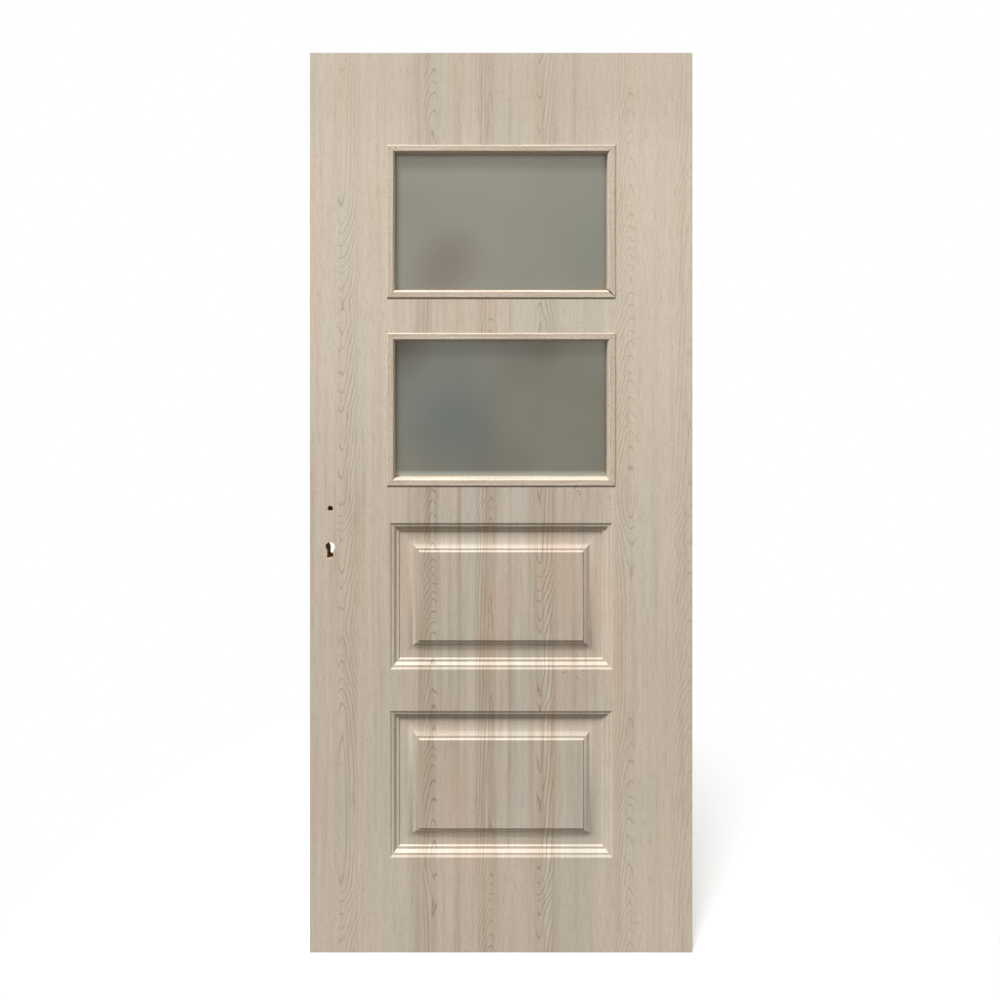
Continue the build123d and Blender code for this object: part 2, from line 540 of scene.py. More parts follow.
        # Fibres and pores are drawn a little coarser than the print's 0.3 mm, so that they show.
        fibres = add(
            "ShaderNodeMapRange", {0: layer["fibre"], 1: 0.48, 2: 0.74, 3: 0.0, 4: self.fibre_share}
        ).outputs[0]
        pores = add(
            "ShaderNodeMapRange", {0: layer["pore"], 1: 0.54, 2: 0.78, 3: 0.0, 4: self.pore_share}
        ).outputs[0]
        knots = self.specks(add, print_place, self.knots)
        smudge = add(
            "ShaderNodeMapRange", {0: layer["smudge"], 1: 0.62, 2: 0.72, 3: 0.0, 4: self.smudge_share}
        ).outputs[0]
        smudged = self.within(add, place, self.smudged)
        rubbed = add("ShaderNodeMath", {0: smudge, 1: smudged}, operation="MULTIPLY").outputs[0]
        for share in (rings, fibres, pores, knots, rubbed):
            film = add(
                "ShaderNodeMix", {0: share, 6: film, 7: linear(self.ring)}, data_type="RGBA"
            ).outputs[2]
        colour = self.soiled_and_shaded(add, film, place, place_mm)

        relief = add("ShaderNodeMath", {0: fibres, 1: pores}, operation="ADD").outputs[0]
        bump = add(
            "ShaderNodeBump",
            {"Strength": 0.35, "Distance": self.relief_mm * MM, "Height": relief},
            invert=True,
        ).outputs[0]
        smooth = self.roughness - self.roughness_play
        coarse = self.roughness + self.roughness_play
        rough = add(
            "ShaderNodeMapRange", {0: layer["streak"], 1: 0.3, 2: 0.7, 3: smooth, 4: coarse}
        ).outputs[0]
        shader = add(
            "ShaderNodeBsdfPrincipled",
            {"Base Color": colour, "Roughness": rough, "Normal": bump, "IOR": self.ior},
        )
        material.node_tree.links.new(shader.outputs[0], output.inputs["Surface"])
        return material

    def swayed(
        self, add: Callable, place_mm: bpy.types.NodeSocket, across: bpy.types.NodeSocket
    ) -> bpy.types.NodeSocket:
        """Let the whole print sway by a few millimetres, as sawn grain does.

        Args:
            add: Short call that adds a node.
            place_mm: Place in millimetres.
            across: Place across the leaf in millimetres.

        Returns:
            Output with the swayed place across the leaf.
        """
        width_mm, length_mm = self.sway_patch_mm
        patch = add(
            "ShaderNodeVectorMath", {0: place_mm, 1: (1 / width_mm, 0, 1 / length_mm)}, operation="MULTIPLY"
        ).outputs[0]
        sway = add("ShaderNodeTexNoise", {"Vector": patch, "Scale": 1.0, "Detail": 1.5}).outputs[0]
        swing = add(
            "ShaderNodeMath", {0: sway, 1: self.sway_mm, 2: -self.sway_mm / 2}, operation="MULTIPLY_ADD"
        ).outputs[0]
        return add("ShaderNodeMath", {0: across, 1: swing}, operation="ADD").outputs[0]

    def soiled_and_shaded(
        self, add: Callable, film: bpy.types.NodeSocket, place: Any, place_mm: bpy.types.NodeSocket
    ) -> bpy.types.NodeSocket:
        """Scuff the film, soil it with small marks, and paint shade into the joints under and beside the
        beads.

        Args:
            add: Short call that adds a node.
            film: Colour of the clean film.
            place: Outputs with the place in millimetres.
            place_mm: The same place as one vector.

        Returns:
            Output with the soiled colour and the painted shade.
        """
        dots = self.specks(add, place_mm, self.scuffs)
        worn = self.within(add, place, self.worn)
        scuffed = add("ShaderNodeMath", {0: dots, 1: worn}, operation="MULTIPLY").outputs[0]
        stains_and_shade = [(scuffed, self.scuff)]
        for across_mm, up_mm in self.marks_mm:
            spot = (across_mm, self.front_mm, up_mm)
            away = add("ShaderNodeVectorMath", {0: place_mm, 1: spot}, operation="DISTANCE").outputs["Value"]
            mark = add(
                "ShaderNodeMapRange",
                {0: away, 1: self.mark_solid_mm, 2: self.mark_end_mm, 3: self.mark_share, 4: 0.0},
            ).outputs[0]
            stains_and_shade.append((mark, self.dirt_and_joint_shade))
        # Painted shade in the joints under and beside the beads
        for joint in self.bead_joint_shade:
            line = self.within(add, place, joint)
            joint_shade = add("ShaderNodeMath", {0: line, 1: joint.share}, operation="MULTIPLY").outputs[0]
            stains_and_shade.append((joint_shade, self.dirt_and_joint_shade))
        for share, hue in stains_and_shade:
            film = add("ShaderNodeMix", {0: share, 6: film, 7: linear(hue)}, data_type="RGBA").outputs[2]
        return film

    def ground(
        self,
        add: Callable,
        across: bpy.types.NodeSocket,
        place: Any,
        layer: dict[str, bpy.types.NodeSocket],
    ) -> bpy.types.NodeSocket:
        """Print the streaked ground under the grain, and lay painted light and shade over it.

        Args:
            add: Short call that adds a node.
            across: Swayed place across the leaf in millimetres.
            place: Outputs with the place in millimetres.
            layer: Noise outputs by title.

        Returns:
            Output with the ground's colour.
        """
        turn = add(
            "ShaderNodeMath",
            {0: across, 1: 1 / self.repeat_mm, 2: -self.repeat_start_mm / self.repeat_mm},
            operation="MULTIPLY_ADD",
        ).outputs[0]
        part = add("ShaderNodeMath", {0: turn}, operation="FRACT").outputs[0]
        stripe = add("ShaderNodeValToRGB", {0: part})
        set_stops(stripe.color_ramp, [(start, (tone, tone, tone, 1)) for start, tone in self.stripes])
        apart = add(
            "ShaderNodeMath", {0: stripe.outputs[0], 1: self.stripe_middle}, operation="SUBTRACT"
        ).outputs[0]
        outward = add("ShaderNodeMath", {0: place["X"]}, operation="ABSOLUTE").outputs[0]
        inner_mm, outer_mm = self.stile_mm
        weight = add(
            "ShaderNodeMapRange",
            {0: outward, 1: inner_mm, 2: outer_mm, 3: self.panel_contrast, 4: self.stile_contrast},
        ).outputs[0]
        striped = add("ShaderNodeMath", {0: apart, 1: weight}, operation="MULTIPLY").outputs[0]
        strength = add("ShaderNodeMapRange", {0: layer["fade"], 1: 0.3, 2: 0.7, 3: 0.45, 4: 1.1}).outputs[0]
        streak = add("ShaderNodeMapRange", {0: layer["streak"], 1: 0.25, 2: 0.75, 3: 0.2, 4: 1.0}).outputs[0]
        tone = add(
            "ShaderNodeMath", {0: striped, 1: strength, 2: streak}, operation="MULTIPLY_ADD"
        ).outputs[0]
        tinted = add("ShaderNodeValToRGB", {0: tone})
        set_stops(
            tinted.color_ramp,
            [
                (0.15, linear(self.brown)),
                (0.42, linear(self.fawn)),
                (0.62, linear(self.beige)),
                (0.92, linear(self.pale)),
            ],
        )
        ground = tinted.outputs[0]
        veils = [(layer["cast"], *cast) for cast in self.casts]
        # The washes paint light and shade over the print
        veils += [
            (place[wash.axis], wash.start_mm, wash.end_mm, wash.share, wash.hue) for wash in self.light_and_shade_washes
        ]
        for source, start, end, most, hue in veils:
            share = add("ShaderNodeMapRange", {0: source, 1: start, 2: end, 3: 0.0, 4: most}).outputs[0]
            ground = add("ShaderNodeMix", {0: share, 6: ground, 7: linear(hue)}, data_type="RGBA").outputs[2]
        return ground

    def specks(self, add: Callable, place_mm: bpy.types.NodeSocket, kind: Specks) -> bpy.types.NodeSocket:
        """Scatter small dots.

        Args:
            add: Short call that adds a node.
            place_mm: Place in millimetres.
            kind: The dots' sizes and spacing.

        Returns:
            Output with the dots' share.
        """
        pitch = 1 / kind.spacing_mm
        spread = add(
            "ShaderNodeVectorMath", {0: place_mm, 1: (pitch, 0, pitch)}, operation="MULTIPLY"
        ).outputs[0]
        cells = add("ShaderNodeTexVoronoi", {"Vector": spread, "Scale": 1.0}).outputs
        chosen = add(
            "ShaderNodeMath", {0: cells["Color"], 1: kind.rarity}, operation="GREATER_THAN"
        ).outputs[0]
        solid, end = kind.solid_mm / kind.spacing_mm, kind.end_mm / kind.spacing_mm
        spot = add(
            "ShaderNodeMapRange", {0: cells["Distance"], 1: solid, 2: end, 3: kind.share, 4: 0.0}
        ).outputs[0]
        return add("ShaderNodeMath", {0: spot, 1: chosen}, operation="MULTIPLY").outputs[0]

    def within(self, add: Callable, place: Any, area: SoftArea) -> bpy.types.NodeSocket:
        """Mark out a soft-edged part of the leaf.

        Args:
            add: Short call that adds a node.
            place: Outputs with the place in millimetres.
            area: The part's limits.

        Returns:
            Output that is 1 inside and 0 outside.
        """
        bands = []
        for axis, (start, end) in (("X", area.width_mm), ("Z", area.height_mm)):
            half = (end - start) / 2
            away = add(
                "ShaderNodeMath", {0: place[axis], 1: (start + end) / 2}, operation="SUBTRACT"
            ).outputs[0]
            distance = add("ShaderNodeMath", {0: away}, operation="ABSOLUTE").outputs[0]
            band = add(
                "ShaderNodeMapRange", {0: distance, 1: half - area.fade_mm, 2: half, 3: 1.0, 4: 0.0}
            ).outputs[0]
            bands.append(band)
        return add("ShaderNodeMath", {0: bands[0], 1: bands[1]}, operation="MULTIPLY").outputs[0]

    def rings(
        self,
        add: Callable,
        across: bpy.types.NodeSocket,
        height: bpy.types.NodeSocket,
        layer: dict[str, bpy.types.NodeSocket],
    ) -> bpy.types.NodeSocket:
        """Draw the arched rings of every column.

        Args:
            add: Short call that adds a node.
            across: Place across the leaf in millimetres.
            height: Place up the leaf in millimetres.
            layer: Noise outputs by title.

        Returns:
            Output with the share of ring colour.
        """
        part_up = add(
            "ShaderNodeMath", {0: height, 1: 1 / self.leaf_height_mm}, operation="MULTIPLY"
        ).outputs[0]
        total = None
        for column in self.columns:
            counts = column.ring_counts(self.leaf_height_mm)
            lowest = min(count for _, count in counts)
            span = max(count for _, count in counts) - lowest
            curve = add("ShaderNodeFloatCurve", {"Value": part_up})
            points = curve.mapping.curves[0].points
            while len(points) < len(counts):
                points.new(0.5, 0.5)
            for point, (level, count) in zip(points, counts):
                point.location = (level / self.leaf_height_mm, (count - lowest) / span)
            curve.mapping.update()
            offset = add("ShaderNodeMath", {0: across, 1: column.centre_mm}, operation="SUBTRACT").outputs[0]
            slant = add("ShaderNodeCombineXYZ", {"X": offset, "Y": column.pith_mm}).outputs[0]
            depth = add("ShaderNodeVectorMath", {0: slant}, operation="LENGTH").outputs["Value"]
            ring = 1 / column.ring_mm
            tip = column.pith_mm * math.sqrt(1 - column.lean**2) * ring
            # Half a ring less than what a tip adds up to, so that a line falls on every tip
            bent = 0.5 - lowest - tip - (self.wander + self.ripple) / 2
            for source, amount in (
                (curve.outputs[0], span),
                (depth, ring),
                (offset, column.lean * ring),
                (layer["wander"], self.wander),
                (layer["ripple"], self.ripple),
            ):
                bent = add(
                    "ShaderNodeMath", {0: source, 1: amount, 2: bent}, operation="MULTIPLY_ADD"
                ).outputs[0]
            part = add("ShaderNodeMath", {0: bent, 1: 0.5}, operation="PINGPONG").outputs[0]
            thin = add(
                "ShaderNodeMapRange",
                {0: depth, 1: column.pith_mm, 2: column.pith_mm + column.ring_mm, 3: 0.40, 4: 0.25},
            ).outputs[0]
            drawn = add(
                "ShaderNodeMapRange",
                {0: part, 1: thin, 2: 0.5, 3: 0.0, 4: column.strength},
                interpolation_type="SMOOTHSTEP",
            ).outputs[0]
            for reach in (-column.left_mm, column.right_mm):
                inside = add(
                    "ShaderNodeMapRange", {0: offset, 1: 0.45 * reach, 2: reach, 3: 1.0, 4: 0.0}
                ).outputs[0]
                drawn = add("ShaderNodeMath", {0: drawn, 1: inside}, operation="MULTIPLY").outputs[0]
            if total is None:
                total = drawn
            else:
                total = add("ShaderNodeMath", {0: total, 1: drawn}, operation="ADD").outputs[0]
        faded = add("ShaderNodeMapRange", {0: layer["fade"], 1: 0.3, 2: 0.6, 3: 0.5, 4: 1.0}).outputs[0]
        fainter = add("ShaderNodeMapRange", {0: part_up, 1: 0.5, 2: 0.95, 3: 1.0, 4: 0.65}).outputs[0]
        shown = add("ShaderNodeMath", {0: faded, 1: fainter}, operation="MULTIPLY").outputs[0]
        return add("ShaderNodeMath", {0: total, 1: shown}, operation="MULTIPLY").outputs[0]


@dataclass(frozen=True)
class TrimFilm:
    """Wrapped PVC film on the beads and edge strips.

    It gives the eye the same ash colour in a plain print of straight threads, with a faint flat-sawn figure.
    """

    name: str
    grain: Grain
    dark: str = "#C6B39D"
    light: str = "#DBCEBC"
    figure: str = "#8C755F"
    thread_mm: tuple[float, float] = (3.2, 150.0)
    figure_mm: tuple[float, float] = (9.0, 30.0)
    figure_lines: float = 7.0
    figure_share: float = 0.3
    roughness: float = 0.45
    ior: float = 1.46
    relief_mm: float = 0.05
    nail: str = "#4E3E30"
    nail_solid_mm: float = 0.8
    nail_end_mm: float = 2.0
    nail_share: float = 0.8
    nails_mm: tuple[tuple[float, float], ...] = (
        (-679.9, 1792.8),
        (-658.8, 1788.4),
        (-646.2, 1051.5),
        (-180.1, 1072.2),
    )
    front_mm: float = -22.0

    def along_grain(
        self, add: Callable, coords: bpy.types.NodeSocket, patch_mm: tuple[float, float]
    ) -> bpy.types.NodeSocket:
        """Draw a pattern out along the grain.

        Args:
            add: Short call that adds a node.
            coords: Place in metres.
            patch_mm: The pattern's size across and along the grain.

        Returns:
            Output with the place, counted in pattern sizes.
        """
        wide, long = [1000 / size for size in patch_mm]
        stretch = (wide, wide, long) if self.grain is Grain.UPRIGHT else (long, wide, wide)
        return add("ShaderNodeVectorMath", {0: coords, 1: stretch}, operation="MULTIPLY").outputs[0]

    def make(self) -> bpy.types.Material:
        """Build the film.

        Returns:
            The material.
        """
        material, add, output = empty_material(self.name)
        coords = add("ShaderNodeTexCoord").outputs["Object"]
        threads = self.along_grain(add, coords, self.thread_mm)
        streak = add("ShaderNodeTexNoise", {"Vector": threads, "Scale": 1.0, "Detail": 3.0}).outputs[0]
        ramp = add("ShaderNodeValToRGB", {0: streak})
        set_stops(ramp.color_ramp, [(0.32, linear(self.dark)), (0.62, linear(self.light))])
        # Contour lines of a long, soft noise, which read as the figure of a small flat-sawn strip
        wide = self.along_grain(add, coords, self.figure_mm)
        swell = add("ShaderNodeTexNoise", {"Vector": wide, "Scale": 1.0, "Detail": 1.0}).outputs[0]
        count = add("ShaderNodeMath", {0: swell, 1: self.figure_lines}, operation="MULTIPLY").outputs[0]
        part = add("ShaderNodeMath", {0: count, 1: 0.5}, operation="PINGPONG").outputs[0]
        line = add(
            "ShaderNodeMapRange", {0: part, 1: 0.26, 2: 0.5, 3: 0.0, 4: self.figure_share}
        ).outputs[0]
        colour = add(
            "ShaderNodeMix", {0: line, 6: ramp.outputs[0], 7: linear(self.figure)}, data_type="RGBA"
        ).outputs[2]
        solid, end = self.nail_solid_mm * MM, self.nail_end_mm * MM
        for across, up in self.nails_mm:
            head = (across * MM, self.front_mm * MM, up * MM)
            away = add("ShaderNodeVectorMath", {0: coords, 1: head}, operation="DISTANCE").outputs["Value"]
            share = add(
                "ShaderNodeMapRange", {0: away, 1: solid, 2: end, 3: self.nail_share, 4: 0.0}
            ).outputs[0]
            colour = add(
                "ShaderNodeMix", {0: share, 6: colour, 7: linear(self.nail)}, data_type="RGBA"
            ).outputs[2]
        bump = add(
            "ShaderNodeBump", {"Strength": 0.3, "Distance": self.relief_mm * MM, "Height": streak}
        ).outputs[0]
        shader = add(
            "ShaderNodeBsdfPrincipled",
            {"Base Color": colour, "Roughness": self.roughness, "Normal": bump, "IOR": self.ior},
        )
        material.node_tree.links.new(shader.outputs[0], output.inputs["Surface"])
        return material


@dataclass(frozen=True)
class RawComposite:
    """Foamed wood plastic composite as the saw leaves it.

    It gives the eye a dry brown with paler wood flour and small open pores.
    """

    name: str = "sawn_wood_plastic_composite"
    dark: str = "#8F6D4C"
    light: str = "#C9A27A"
    fleck_mm: float = 1.6
    pore_mm: float = 0.9
    relief_mm: float = 0.25
    roughness: float = 0.85

    def make(self) -> bpy.types.Material:
        """Build the sawn composite.

        Returns:
            The material.
        """
        material, add, output = empty_material(self.name)
        coords = add("ShaderNodeTexCoord").outputs["Object"]
        fleck = add(
            "ShaderNodeTexNoise", {"Vector": coords, "Scale": 1 / (self.fleck_mm * MM), "Detail": 4.0}
        ).outputs[0]
        ramp = add("ShaderNodeValToRGB", {0: fleck})
        set_stops(ramp.color_ramp, [(0.3, linear(self.dark)), (0.7, linear(self.light))])
        pores = add("ShaderNodeTexVoronoi", {"Vector": coords, "Scale": 1 / (self.pore_mm * MM)}).outputs[0]
        bump = add(
            "ShaderNodeBump", {"Strength": 0.5, "Distance": self.relief_mm * MM, "Height": pores}
        ).outputs[0]
        shader = add(
            "ShaderNodeBsdfPrincipled",
            {"Base Color": ramp.outputs[0], "Roughness": self.roughness, "Normal": bump},
        )
        material.node_tree.links.new(shader.outputs[0], output.inputs["Surface"])
        return material


@dataclass(frozen=True)
class TornFilm:
    """Film torn back round a drilled hole.

    It gives the eye a pale, fibrous rim with some brown composite showing through.
    """

    name: str = "torn_film_rim"
    pale: str = "#E2D7C6"
    brown: str = "#A58A6E"
    tear_mm: float = 2.5
    roughness: float = 0.8

    def make(self) -> bpy.types.Material:
        """Build the torn rim.

        Returns:
            The material.
        """
        material, add, output = empty_material(self.name)
        coords = add("ShaderNodeTexCoord").outputs["Object"]
        tear = add(
            "ShaderNodeTexNoise", {"Vector": coords, "Scale": 1 / (self.tear_mm * MM), "Detail": 3.0}
        ).outputs[0]
        ramp = add("ShaderNodeValToRGB", {0: tear})
        set_stops(ramp.color_ramp, [(0.35, linear(self.brown)), (0.55, linear(self.pale))])
        shader = add(
            "ShaderNodeBsdfPrincipled", {"Base Color": ramp.outputs[0], "Roughness": self.roughness}
        )
        material.node_tree.links.new(shader.outputs[0], output.inputs["Surface"])
        return material


@dataclass(frozen=True)
class SurroundingsPatch:
    """Soft round patch of painted light and shade from a pane's surroundings.

    Attributes:
        hue: Its colour.
        across_mm: Place of its middle across the leaf.
        up_mm: Height of its middle.
        radius_mm: Radius where it ends.
        share: Share of the hue in its middle.
    """

    hue: str
    across_mm: float
    up_mm: float
    radius_mm: float
    share: float


@dataclass(frozen=True)
class FootGlow:
    """Pale line along the foot of a pane, where the bead below it mirrors in the glass.

    Attributes:
        hue: Its colour.
        foot_mm: Height up to which it is full.
        top_mm: Height where it ends.
        share: Share of the hue where it is full.
    """

    hue: str
    foot_mm: float
    top_mm: float
    share: float


@dataclass(frozen=True)
class FrostedGlass:
    """Sandblasted float glass.

    It gives the eye a cloudy grey green with a soft sheen and no clear view through.
    """

    name: str
    cloud: str
    body: str
    painted_surroundings: tuple[SurroundingsPatch, ...]
    glow: FootGlow | None = None
    sheen_share: float = 0.8
    transmission: float = 0.25
    roughness: float = 0.4
    ior: float = 1.5
    cloud_mm: float = 180.0
    grit_mm: float = 0.8
    relief_mm: float = 0.05

    def make(self) -> bpy.types.Material:
        """Build the glass.

        Returns:
            The material.
        """
        material, add, output = empty_material(self.name)
        coords = add("ShaderNodeTexCoord").outputs["Object"]
        grit = add(
            "ShaderNodeTexNoise", {"Vector": coords, "Scale": 1 / (self.grit_mm * MM), "Detail": 2.0}
        ).outputs[0]
        bump = add(
            "ShaderNodeBump", {"Strength": 0.12, "Distance": self.relief_mm * MM, "Height": grit}
        ).outputs[0]
        colour = self.clouded(add, coords)
        body = add(
            "ShaderNodeBsdfPrincipled",
            {
                "Base Color": colour,
                "Roughness": self.roughness,
                "Normal": bump,
                "IOR": self.ior,
                "Transmission Weight": self.transmission,
            },
        ).outputs[0]
        sheen = add(
            "ShaderNodeBsdfGlossy", {"Color": colour, "Roughness": self.roughness, "Normal": bump}
        ).outputs[0]
        shader = add("ShaderNodeMixShader", {0: self.sheen_share, 1: body, 2: sheen})
        material.node_tree.links.new(shader.outputs[0], output.inputs["Surface"])
        return material

    def clouded(self, add: Callable, coords: bpy.types.NodeSocket) -> bpy.types.NodeSocket:
        """Cloud the pane, and lay over it the painted light and shade of its surroundings and the painted
        reflection at its foot.

        Args:
            add: Short call that adds a node.
            coords: Place in metres.

        Returns:
            Output with the pane's colour.
        """
        cloud = add(
            "ShaderNodeTexNoise", {"Vector": coords, "Scale": 1 / (self.cloud_mm * MM), "Detail": 1.0}
        ).outputs[0]
        ramp = add("ShaderNodeValToRGB", {0: cloud})
        set_stops(ramp.color_ramp, [(0.3, linear(self.body)), (0.7, linear(self.cloud))])
        veils = []
        # Painted light and shade of the pane's surroundings, in soft round patches
        for tint in self.painted_surroundings:
            spot = (tint.across_mm * MM, 0, tint.up_mm * MM)
            away = add("ShaderNodeVectorMath", {0: coords, 1: spot}, operation="DISTANCE").outputs["Value"]
            share = add(
                "ShaderNodeMapRange",
                {0: away, 1: 0.0, 2: tint.radius_mm * MM, 3: tint.share, 4: 0.0},
                interpolation_type="SMOOTHSTEP",
            ).outputs[0]
            veils.append((share, tint.hue))
        # Painted reflection of the bead below, along the pane's foot
        if self.glow:
            height = add("ShaderNodeSeparateXYZ", {0: coords}).outputs["Z"]
            foot, top = self.glow.foot_mm * MM, self.glow.top_mm * MM
            share = add(
                "ShaderNodeMapRange", {0: height, 1: foot, 2: top, 3: self.glow.share, 4: 0.0}
            ).outputs[0]
            veils.append((share, self.glow.hue))
        colour = ramp.outputs[0]
        for share, hue in veils:
            colour = add("ShaderNodeMix", {0: share, 6: colour, 7: linear(hue)}, data_type="RGBA").outputs[2]
        return colour


@dataclass(frozen=True)
class Opening:
    """Rectangle in the leaf's plane, in metres."""

    x_low: float
    x_high: float
    z_low: float
    z_high: float

    @classmethod
    def between(cls, lower_rail: str, upper_rail: str) -> "Opening":
        """Take the opening between two rails of the core.

        Args:
            lower_rail: Node under the opening.
            upper_rail: Node over the opening.

        Returns:
            The opening.
        """
        low_corner, high_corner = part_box(lower_rail)
        return cls(low_corner.x, high_corner.x, high_corner.z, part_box(upper_rail)[0].z)

    def grown(self, margin: float) -> "Opening":
        """Give the rectangle a margin all round."""
        return Opening(self.x_low - margin, self.x_high + margin, self.z_low - margin, self.z_high + margin)

    def corners(self, y: float) -> list[Vector]:
        """List the corners at one depth, in order round the rectangle."""
        return [
            Vector((self.x_low, y, self.z_low)),
            Vector((self.x_high, y, self.z_low)),
            Vector((self.x_high, y, self.z_high)),
            Vector((self.x_low, y, self.z_high)),
        ]


def add_loop(bm: bmesh.types.BMesh, points: Sequence[Vector]) -> list[bmesh.types.BMEdge]:
    """Add a closed loop of edges.

    Args:
        bm: Mesh that takes the loop.
        points: Corners in order.

    Returns:
        The loop's edges.
    """
    verts = [bm.verts.new(point) for point in points]
    return [bm.edges.new((a, b)) for a, b in zip(verts, verts[1:] + verts[:1])]


def ease_edges(
    bm: bmesh.types.BMesh,
    edges: Sequence[bmesh.types.BMEdge],
    width: float,
    parts: int,
    material: int = -1,
    clamp: bool = False,
) -> None:
    """Round edges over.

    Args:
        bm: Mesh that holds the edges.
        edges: The edges.
        width: Width of the rounding.
        parts: Number of faces across it.
        material: Material place of its faces, or -1 for that of the faces beside it.
        clamp: Whether roundings stop where they meet.
    """
    bmesh.ops.bevel(
        bm,
        geom=edges,
        offset=width,
        offset_type="OFFSET",
        segments=parts,
        profile=0.5,
        affect="EDGES",
        material=material,
        clamp_overlap=clamp,
    )


def finish_piece(
    bm: bmesh.types.BMesh,
    name: str,
    materials: Sequence[bpy.types.Material],
    nodes: Sequence[str],
) -> bpy.types.Object:
    """Turn a mesh under construction into a piece that rides on the leaf.

    Args:
        bm: The finished mesh, which is freed.
        name: The piece's name.
        materials: Materials in the order of the faces' material places.
        nodes: CAD nodes that the piece stands for.

    Returns:
        The new object.
    """
    bmesh.ops.recalc_face_normals(bm, faces=bm.faces)
    mesh = bpy.data.meshes.new(name)
    bm.to_mesh(mesh)
    bm.free()
    for material in materials:
        mesh.materials.append(material)
    mesh.shade_smooth()
    mesh.set_sharp_from_angle(angle=SHARP_ANGLE)
    piece = bpy.data.objects.new(name, mesh)
    bpy.context.scene.collection.objects.link(piece)
    normals = piece.modifiers.new("flat_faces_stay_flat", "WEIGHTED_NORMAL")
    normals.keep_sharp = True
    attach(piece, ROOT)
    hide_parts(*nodes)
    LOG.info("%s: %d faces", name, len(mesh.polygons))
    return piece


@dataclass
class LockHoles:
    """Spindle hole and cylinder keyhole, as outlines in the leaf's plane."""

    spindle_segments: int = 40
    keyhole_segments: int = 44
    lock_centres: float = 85 * MM
    keyhole_radius: float = 10.25 * MM
    slot_width: float = 13.5 * MM
    slot_drop: float = 25.5 * MM
    slot_corner: float = 2.5 * MM
    corner_parts: int = 4

    def __post_init__(self) -> None:
        """Read the spindle hole from the record's mount."""
        mount = next(m for m in frame["record"]["mounts"] if m["name"] == "spindle_hole")
        self.spindle_radius = mount["dims"]["r_mm"] * MM
        self.spindle = Vector((mount["pos_m"][0], 0, mount["pos_m"][2]))
        self.keyhole = self.spindle - Vector((0, 0, self.lock_centres))

    def centres(self) -> tuple[Vector, Vector]:
        """Give the middles of both holes."""
        return (self.spindle, self.keyhole)

    def add_outlines(self, bm: bmesh.types.BMesh, y: float) -> None:
        """Add both outlines to a mesh.

        Args:
            bm: Mesh that takes the edges.
            y: Depth of the outlines.
        """
        upright = Matrix.Rotation(math.radians(90), 4, "X")
        depth = Vector((0, y, 0))
        bmesh.ops.create_circle(
            bm,
            segments=self.spindle_segments,
            radius=self.spindle_radius,
            matrix=Matrix.Translation(self.spindle + depth) @ upright,
        )
        centre = self.keyhole + depth
        half_slot = self.slot_width / 2
        chord_drop = math.sqrt(self.keyhole_radius**2 - half_slot**2)
        start = bm.verts.new(centre + Vector((half_slot, 0, -chord_drop)))
        arc = bmesh.ops.spin(
            bm,
            geom=[start],
            cent=centre,
            axis=(0, -1, 0),
            angle=math.tau - 2 * math.atan2(half_slot, chord_drop),
            steps=self.keyhole_segments,
        )
        end = next(g for g in arc["geom_last"] if isinstance(g, bmesh.types.BMVert))
        drop = Vector((0, 0, chord_drop - self.slot_drop))
        low_start = bm.verts.new(start.co + drop)
        low_end = bm.verts.new(end.co + drop)
        for pair in ((start, low_start), (low_start, low_end), (low_end, end)):
            bm.edges.new(pair)
        bmesh.ops.bevel(
            bm,
            geom=[low_start, low_end],
            offset=self.slot_corner,
            segments=self.corner_parts,
            profile=0.5,
            affect="VERTICES",
            material=-1,
        )


